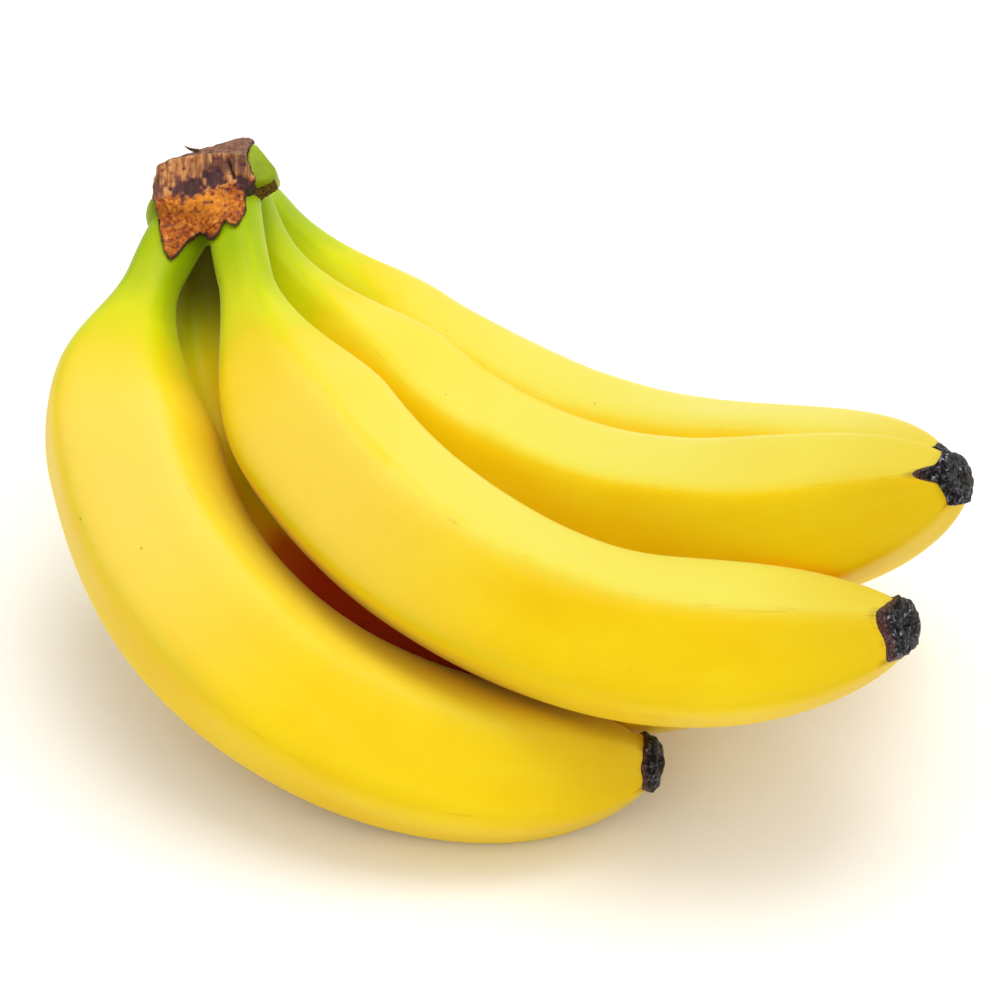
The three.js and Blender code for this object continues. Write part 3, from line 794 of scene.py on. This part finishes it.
def peel_material(look):
    """Ripe banana peel: a leathery rind grown under its own thin wax, which gives a broad soft
    sheen. The body is mottled in two yellows and streaked with a paler one. Its upper flats are
    painted paler as sheen, and its near shoulders are painted paler as a highlight. Where fingers
    nearly touch it carries painted bounce light and shade, orange to red-brown, and the finger that
    is shut in carries painted red-brown shade on its hidden body. Unripe green is left at the necks
    and runs out along the ridges, with painted olive-brown shade on the shut-in neck. Toward the
    blossom end it darkens to olive, partly its own colour and partly painted shade. A few specks,
    scuffed ridges and dry fibres at the end break it up."""
    material, add = start_material("ripe_banana_peel_waxy")
    skin = add("Attribute", attribute_name="skin").outputs["Vector"]
    ridge, to_tip, unripe, crevice, painted_gap_shade, painted_top_sheen, painted_neck_highlight = (
        add("Attribute", attribute_name=name).outputs["Fac"]
        for name in ("ridge", "to_tip", "green", "crevice", "painted_gap_shade", "painted_top_sheen", "painted_neck_highlight")
    )
    drawn_out, fibre_line = (
        add("VectorMath", {0: skin, 1: (1, 1, squeeze)}, operation="MULTIPLY")
        for squeeze in (0.12, 0.05)
    )
    mottle = add("TexNoise", {"Vector": skin, "Scale": across(24), "Detail": 3.0})
    streak = add("TexNoise", {"Vector": drawn_out, "Scale": across(3.5), "Detail": 3.0})
    strands = add("TexNoise", {"Vector": fibre_line, "Scale": across(0.9), "Detail": 3.0})
    pores = add("TexNoise", {"Vector": skin, "Scale": across(0.7), "Detail": 2.0})
    rub = add("TexNoise", {
        "Vector": drawn_out, "Scale": across(1.6), "Detail": 4.0, "Roughness": 0.7,
    })
    cells = add("TexVoronoi", {"Vector": skin, "Scale": across(7)})

    # Painted bounce light and shade: bright orange where fingers are a little apart, red-brown
    # where they nearly touch.
    painted_bounce_and_shade = add("ValToRGB", {"Fac": crevice}, ramp=[
        (0.3, "#ffbb04"), (1.0, look.pressed), (0.6, "#d06a05"),
    ])
    waver = add("Math", {0: mottle, 1: 0.5}, operation="SUBTRACT")
    any_green = add("MapRange", {"Value": unripe, LOW: 0.0, HIGH: 0.08})
    unripe = add("Math", {0: waver, 1: 0.7, 2: unripe}, operation="MULTIPLY_ADD")
    unripe = add("Math", {0: unripe, 1: any_green}, operation="MULTIPLY")
    green = add("ValToRGB", {"Fac": unripe}, ramp=[
        (0.0, "#e6cc0b"), (1.0, look.green), (0.25, "#dcca03"),
        (0.5, "#cdcf03"), (0.75, "#b2c203"),
    ])
    # Darker olive toward the blossom end: partly the peel's own colour, partly painted shade.
    olive_and_painted_shade = add("MapRange", {"Value": to_tip, LOW: 0.03, HIGH: 0.0, MOST: 0.5},
                interpolation_type="SMOOTHSTEP")
    near_end = add("MapRange", {"Value": to_tip, LOW: 0.003, HIGH: -0.0003})
    along_ridge = add("MapRange", {"Value": ridge, LOW: 0.0, HIGH: 0.9, LEAST: 0.6})
    near_end = add("Math", {0: near_end, 1: along_ridge}, operation="MULTIPLY")
    reach = add("Math", {0: near_end, 1: strands}, operation="MULTIPLY")
    dry = add("MapRange", {"Value": reach, LOW: 0.28, HIGH: 0.75, MOST: 0.85})
    small = add("MapRange", {"Value": cells, LOW: 0.055, HIGH: 0.025})
    some = add("SeparateColor", {"Color": cells.outputs["Color"]})
    few = add("MapRange", {"Value": some, LOW: 0.72, HIGH: 0.95, MOST: 0.7})
    speck = add("Math", {0: small, 1: few}, operation="MULTIPLY")
    rubbed = add("Math", {
        0: add("MapRange", {"Value": rub, LOW: 0.6, HIGH: 0.7}),
        1: add("MapRange", {"Value": ridge, LOW: 0.8, HIGH: 1.0, MOST: 0.4}),
    }, operation="MULTIPLY")

    layers = [
        (add("MapRange", {"Value": value, LOW: low, HIGH: high, MOST: most}), colour)
        for value, low, high, most, colour in (
            (mottle, 0.38, 0.66, 1, look.deep), (streak, 0.5, 0.8, 0.35, look.pale),
            (painted_top_sheen, 0, 1, 0.9, look.painted_top_sheen), (crevice, 0.05, 0.5, 1, painted_bounce_and_shade),
            (unripe, 0.02, 0.3, 1, green), (painted_gap_shade, 0, 1, 0.85, "#574408"),
        )
    ]
    layers += [
        (painted_neck_highlight, "#f3d76c"), (olive_and_painted_shade, "#cfae12"), (dry, "#6b3e1e"), (speck, "#7a5a14"),
        (rubbed, "#b17a1c"),
    ]
    body = look.ripe
    for amount, colour in layers:
        body = add("Mix", {AMOUNT: amount, UNDER: body, OVER: colour}, data_type="RGBA")

    shine = add("MapRange", {
        "Value": mottle, LOW: 0.3, HIGH: 0.7, LEAST: look.roughness - 0.05,
        MOST: look.roughness + 0.07,
    })
    height = add("Math", {0: streak, 1: 1.6, 2: pores}, operation="MULTIPLY_ADD")
    finish_material(
        add, add("Math", {0: speck, 1: -1.5, 2: height}, operation="MULTIPLY_ADD"), 0.35, 0.05,
        {
            "Base Color": body, "IOR": 1.4, "Specular IOR Level": 0.14, "Sheen Weight": 0.06,
            "Roughness": add("Math", {0: dry, 1: 0.25, 2: shine}, operation="MULTIPLY_ADD"),
            "Sheen Roughness": 0.35, "Subsurface Weight": 0.06,
            "Subsurface Radius": (1.0, 0.6, 0.1), "Subsurface Scale": 1.5 * MM,
        },
    )
    return material


def blossom_material(look):
    """Dried blossom end: dead flower tissue, shrunk to a hard crumpled stub. It is nearly black
    and glossier in spots where sap has dried, with painted glints of pale blue-grey in its colour,
    and brown where it meets the peel."""
    material, add = start_material("dried_blossom_end")
    place = add("Attribute", attribute_name="body").outputs["Vector"]
    scar, rim = (
        add("Attribute", attribute_name=name).outputs["Fac"]
        for name in ("scar", "rim")
    )
    patch = add("TexNoise", {
        "Vector": place, "Scale": across(1.1), "Detail": 5.0, "Roughness": 0.75,
    })
    grit = add("TexNoise", {
        "Vector": place, "Scale": across(0.6), "Detail": 3.0, "Roughness": 0.6,
    })
    # The pale blue-grey stops are painted glints.
    colour = add("ValToRGB", {"Fac": patch}, ramp=[
        (0.3, look.black), (0.67, "#c9d0da"), (0.51, "#0e0b0d"),
        (0.55, "#25242f"), (0.61, "#585460"),
    ])
    rim = add("Math", {0: rim, 1: patch}, operation="MULTIPLY")
    for amount, over in (
        (add("Math", {0: scar, 1: 0.3}, operation="MULTIPLY"), "#363229"),
        (add("MapRange", {"Value": rim, LOW: 0.25, HIGH: 0.5, MOST: 0.85}), look.rim),
    ):
        colour = add("Mix", {AMOUNT: amount, UNDER: colour, OVER: over}, data_type="RGBA")
    height = add("Math", {0: patch, 1: 2.0, 2: grit}, operation="MULTIPLY_ADD")
    finish_material(add, height, 1.0, 0.35, {
        "Base Color": colour,
        "Roughness": add("MapRange", {
            "Value": grit, LOW: 0.35, HIGH: 0.65, LEAST: 0.18, MOST: 0.6,
        }),
        "Specular IOR Level": add("MapRange", {
            "Value": grit, LOW: 0.5, HIGH: 0.66, LEAST: 0.08, MOST: 1.0,
        }),
    })
    return material


def cut_material(look):
    """Cut crown: stalk tissue sliced across, then dried. Upright fibres show tan and brown above,
    greyed in places, and crumbly orange cork below. Sap has blackened patches and the crack, and
    the torn edge has shrunk to a dark line."""
    material, add = start_material("dried_cut_stalk_and_cork")
    drawn = add("Attribute", attribute_name="drawn").outputs["Vector"]
    corky, char, groove, behind, glow, smoke, torn = (
        add("Attribute", attribute_name=name).outputs["Fac"]
        for name in ("cork", "char", "groove", "behind", "glow", "smoke", "torn")
    )
    upright = add("VectorMath", {0: drawn, 1: (1, 0.16, 0.3)}, operation="MULTIPLY")
    fibre = add("TexNoise", {
        "Vector": upright, "Scale": across(0.9), "Detail": 5.0, "Roughness": 0.6,
    })
    blot = add("TexNoise", {"Vector": drawn, "Scale": across(4), "Detail": 4.0})
    crumb = add("TexNoise", {
        "Vector": drawn, "Scale": across(1.0), "Detail": 5.0, "Roughness": 0.72,
    })
    stalk = add("ValToRGB", {"Fac": fibre}, ramp=[
        (0.3, "#623823"), (0.72, "#e8c28f"), (0.42, "#9e6233"),
        (0.51, "#bb7f4b"), (0.6, look.stalk),
    ])
    greyed = add("Math", {0: fibre, 1: -1.6, 2: smoke}, operation="MULTIPLY_ADD")
    greyed = add("MapRange", {"Value": greyed, LOW: -0.6, HIGH: 0.1, MOST: 0.85})
    stalk = add("Mix", {AMOUNT: greyed, UNDER: stalk, OVER: "#53342b"},
                data_type="RGBA")
    cork = add("ValToRGB", {"Fac": crumb}, ramp=[
        (0.32, "#531b0a"), (0.7, "#edbb7a"), (0.43, "#93420f"),
        (0.51, look.cork), (0.6, "#cd832f"),
    ])
    pale = add("Math", {0: glow, 1: crumb}, operation="MULTIPLY")
    rind = add("ValToRGB", {"Fac": crumb}, ramp=[
        (0.35, "#4e342e"), (0.65, "#917262"), (0.5, "#6f4e45"),
    ])
    sap = add("ValToRGB", {"Fac": char}, ramp=[
        (0.3, "#79392a"), (0.95, "#2a1525"), (0.6, "#49232f"),
    ])
    for amount, over in (
        (add("MapRange", {"Value": blot, LOW: 0.46, HIGH: 0.6, MOST: 0.45}),
         "#893f13"),
        (add("MapRange", {"Value": pale, LOW: 0.08, HIGH: 0.48, MOST: 0.9}),
         "#f59a30"),
    ):
        cork = add("Mix", {AMOUNT: amount, UNDER: cork, OVER: over}, data_type="RGBA")
    colour = stalk
    for amount, over in (
        (corky, cork),
        (add("Math", {0: behind, 1: 0.85}, operation="MULTIPLY"), rind),
        (add("MapRange", {"Value": char, LOW: 0.05, HIGH: 0.6, MOST: 0.92}), sap),
        (groove, "#1e0f0c"),
        (add("MapRange", {"Value": torn, LOW: 0.45, HIGH: 1.0, MOST: 0.9}),
         "#33201b"),
    ):
        colour = add("Mix", {AMOUNT: amount, UNDER: colour, OVER: over}, data_type="RGBA")
    height = add("Mix", {AMOUNT: corky, 2: fibre, 3: crumb})
    finish_material(add, height, 0.9, 0.35, {
        "Base Color": colour, "Roughness": 0.7, "Specular IOR Level": 0.25,
    })
    return material


def flesh_material(look):
    """Green crown: the same waxy rind as the necks, still unripe, with a brown ledge under the
    cheek, dry where a neighbouring hand was broken off and painted dark as shade under the
    overhang."""
    material, add = start_material("unripe_crown_rind")
    place = add("TexCoord").outputs["Object"]
    ledge = add("Attribute", attribute_name="dry").outputs["Fac"]
    cloud = add("TexNoise", {"Vector": place, "Scale": across(7), "Detail": 3.0})
    grit = add("TexNoise", {
        "Vector": place, "Scale": across(0.7), "Detail": 4.0, "Roughness": 0.65,
    })
    green = add("ValToRGB", {"Fac": cloud}, ramp=[
        (0.3, "#798e07"), (0.7, "#a0b02d"), (0.5, look.green),
    ])
    brown = add("ValToRGB", {"Fac": grit}, ramp=[
        (0.35, "#322109"), (0.7, "#92702e"), (0.52, "#594411"),
    ])
    dry = add("Math", {0: grit, 1: 0.5, 2: ledge}, operation="MULTIPLY_ADD")
    dry = add("MapRange", {"Value": dry, LOW: 0.5, HIGH: 0.8})
    finish_material(add, grit, 0.4, 0.08, {
        "Base Color": add("Mix", {AMOUNT: dry, UNDER: green, OVER: brown}, data_type="RGBA"),
        "Roughness": add("MapRange", {"Value": dry, LEAST: 0.45, MOST: 0.8}),
        "IOR": 1.42, "Specular IOR Level": 0.2,
    })
    return material


def paper_material(colour):
    """White background paper, pressed and matt: it scatters light evenly and has a faint tooth."""
    material, add = start_material("matt_white_background_paper")
    place = add("TexCoord").outputs["Object"]
    tooth = add("TexNoise", {"Vector": place, "Scale": across(1.5), "Detail": 2.0})
    finish_material(add, tooth, 0.05, 0.02, {
        "Base Color": colour, "Roughness": 0.9, "Specular IOR Level": 0.1,
    })
    return material


# ---- Settings that a user would change ----

def colour_setting(name, description, colour):
    """A colour property with its default given as sRGB hex."""
    return bpy.props.FloatVectorProperty(
        name=name, description=description, subtype="COLOR", size=4, min=0, max=1,
        default=linear(colour),
    )


def number_setting(name, description, least, most, default, **kind):
    """A number with its range."""
    return bpy.props.FloatProperty(
        name=name, description=description, min=least, max=most, default=default, **kind)


class PeelLook(bpy.types.PropertyGroup):
    """Colours and sheen of the peel"""
    ripe: colour_setting("Ripe yellow", "Main colour of the body", "#f0cf0b")
    deep: colour_setting("Deep yellow", "Warmer yellow that mottles the body", "#edc404")
    pale: colour_setting("Pale yellow", "Lighter streaks along the body", "#f1d92a")
    # Painted sheen: the paler colour painted on the upper flats.
    painted_top_sheen: colour_setting("Bloom", "Paler wax on the upper flats", "#dcd455")
    # Painted shade: the red-brown painted where fingers nearly touch.
    pressed: colour_setting("Pressed brown", "Where fingers touch each other", "#c73d08")
    green: colour_setting("Neck green", "Unripe colour next to the crown", "#93b004")
    roughness: number_setting("Sheen roughness", "Higher gives a duller wax", 0.1, 0.9, 0.42,
                              subtype="FACTOR")


class BlossomLook(bpy.types.PropertyGroup):
    """Colours of the dried blossom ends"""
    black: colour_setting("Stub black", "Darkest colour of the dried stub", "#060506")
    rim: colour_setting("Rim brown", "Where the stub meets the peel", "#5c3730")


class CrownLook(bpy.types.PropertyGroup):
    """Colours of the crown"""
    stalk: colour_setting("Stalk tan", "Cut fibres of the stalk", "#ce9459")
    cork: colour_setting("Cork orange", "Crumbly cork under the cut", "#be6816")
    green: colour_setting("Rind green", "Rind that is left round the cut", "#8ba01a")


class StudioLook(bpy.types.PropertyGroup):
    """Floor and lights"""
    paper: colour_setting("Paper", "Colour of the floor", "#fafafa")
    tent_top: number_setting("Tent top", "Strength of the tent's light from above", 0, 5, 1.2)
    tent_side: number_setting("Tent side", "Strength of its light from the horizon", 0, 5, 0.7)
    overhead: number_setting("Overhead softbox", "Power of the large lamp over the bunch",
                             0, 400, 13, unit="POWER")
    width: number_setting("Softbox width", "Side of the square lamp", 0.05, 3, 1,
                          unit="LENGTH")


# ---- Operators ----

def finger_lines():
    """Centre line of every finger, by name."""
    return {name: finger_line(finger) for name, finger in FINGERS.items()}


class BUNCH_OT_fingers(bpy.types.Operator):
    """Grow the five peels from the crown to their blossom ends"""
    bl_idname = "bunch.fingers"
    bl_label = "Fingers"

    def execute(self, context):
        material = peel_material(context.scene.peel_look)
        lines = finger_lines()
        for name in FINGERS:
            points, faces, marks = finger_skin(name, lines)
            put_piece(f"peel_{name}", points, faces, material, [f"banana_{name}"], marks)
        return {"FINISHED"}


class BUNCH_OT_blossom_ends(bpy.types.Operator):
    """Add the dried stub of the flower to the end of each finger"""
    bl_idname = "bunch.blossom_ends"
    bl_label = "Blossom Ends"

    def execute(self, context):
        material = blossom_material(context.scene.blossom_look)
        for name, finger in FINGERS.items():
            points, faces, marks = blossom_end(finger, finger_line(finger))
            put_piece(f"blossom_{name}", points, faces, material, [f"tip_{name}"],
                      marks)
        return {"FINISHED"}


class BUNCH_OT_crown(bpy.types.Operator):
    """Build the crown: its green flesh, its cut face and the splinter on its rim"""
    bl_idname = "bunch.crown"
    bl_label = "Crown"

    def execute(self, context):
        look = context.scene.crown_look
        lines = finger_lines()
        points, faces, marks = crown_flesh(lines)
        put_piece("crown_flesh", points, faces, flesh_material(look), ["crown"], marks)
        cut = cut_material(look)
        points, faces, marks = crown_cut(lines)
        put_piece("crown_cut", points, faces, cut, ["crown"], marks)
        points, faces = splinter()
        all_torn = {"torn": np.ones(len(points))}
        put_piece("crown_splinter", points, faces, cut, [], all_torn)
        return {"FINISHED"}


class BUNCH_OT_studio(bpy.types.Operator):
    """Lay the paper floor, and set the lights and the camera"""
    bl_idname = "bunch.studio"
    bl_label = "Studio"

    def execute(self, context):
        scene, look = context.scene, context.scene.studio_look
        mesh = bpy.data.meshes.new("paper_floor")
        corners = [(x * FLOOR_REACH, y * FLOOR_REACH, 0)
                   for x, y in ((-1, -1), (1, -1), (1, 1), (-1, 1))]
        mesh.from_pydata(corners, [], [(0, 1, 2, 3)])
        mesh.materials.append(paper_material(look.paper))
        floor = put_object("paper_floor", mesh)

        lamp = bpy.data.lights.new("overhead_softbox", "AREA")
        lamp.size, lamp.energy = look.width, look.overhead
        camera = bpy.data.cameras.new("camera")
        camera.lens, camera.sensor_width = CAMERA_LENS, SENSOR_WIDTH
        scene.camera = put_object("camera", camera)
        for item, place, target in (
            (put_object("overhead_softbox", lamp), LAMP_PLACE, (0, 0, 0)),
            (scene.camera, CAMERA_PLACE, CAMERA_TARGET),
        ):
            aim = Vector(target) - Vector(place)
            item.location, item.rotation_euler = place, aim.to_track_quat("-Z", "Y").to_euler()

        world = bpy.data.worlds.new("white_tent")
        world.use_nodes = True
        tree = world.node_tree
        add = partial(add_node, tree)
        direction = add("TexCoord").outputs["Generated"]
        rise = add("VectorMath", {0: direction, 1: TENT_TOP}, operation="DOT_PRODUCT")
        glow = add("MapRange", {"Value": rise, LEAST: look.tent_side, MOST: look.tent_top})
        tent = tree.nodes["Background"]
        tent.inputs["Color"].default_value = linear("#fffcf8")
        tree.links.new(glow.outputs["Result"], tent.inputs["Strength"])
        scene.world = world
        scene.view_settings.view_transform = "Standard"
        return {"FINISHED"}


class BUNCH_PT_panel(bpy.types.Panel):
    """Lists the steps of the bunch and their settings"""
    bl_idname = "BUNCH_PT_panel"
    bl_label = "Bunch of Bananas"
    bl_space_type = "VIEW_3D"
    bl_region_type = "UI"
    bl_category = "Bananas"

    def draw(self, context):
        for step, look in STEPS:
            box = self.layout.box()
            box.operator(step.bl_idname)
            settings = getattr(context.scene, look)
            for setting in settings.__annotations__:
                box.prop(settings, setting)


STEPS = (
    (BUNCH_OT_studio, "studio_look"),
    (BUNCH_OT_fingers, "peel_look"),
    (BUNCH_OT_blossom_ends, "blossom_look"),
    (BUNCH_OT_crown, "crown_look"),
)
LOOKS = {
    "studio_look": StudioLook, "peel_look": PeelLook, "blossom_look": BlossomLook,
    "crown_look": CrownLook,
}


def register():
    for kind in (*LOOKS.values(), *(step for step, _ in STEPS), BUNCH_PT_panel):
        bpy.utils.register_class(kind)
    for name, kind in LOOKS.items():
        setattr(bpy.types.Scene, name, bpy.props.PointerProperty(type=kind))


def unregister():
    for name in LOOKS:
        delattr(bpy.types.Scene, name)
    for kind in (BUNCH_PT_panel, *(step for step, _ in STEPS), *LOOKS.values()):
        bpy.utils.unregister_class(kind)


def main():
    register()
    bpy.ops.bunch.studio()
    bpy.ops.bunch.fingers()
    bpy.ops.bunch.blossom_ends()
    bpy.ops.bunch.crown()


if __name__ == "__main__":
    main()
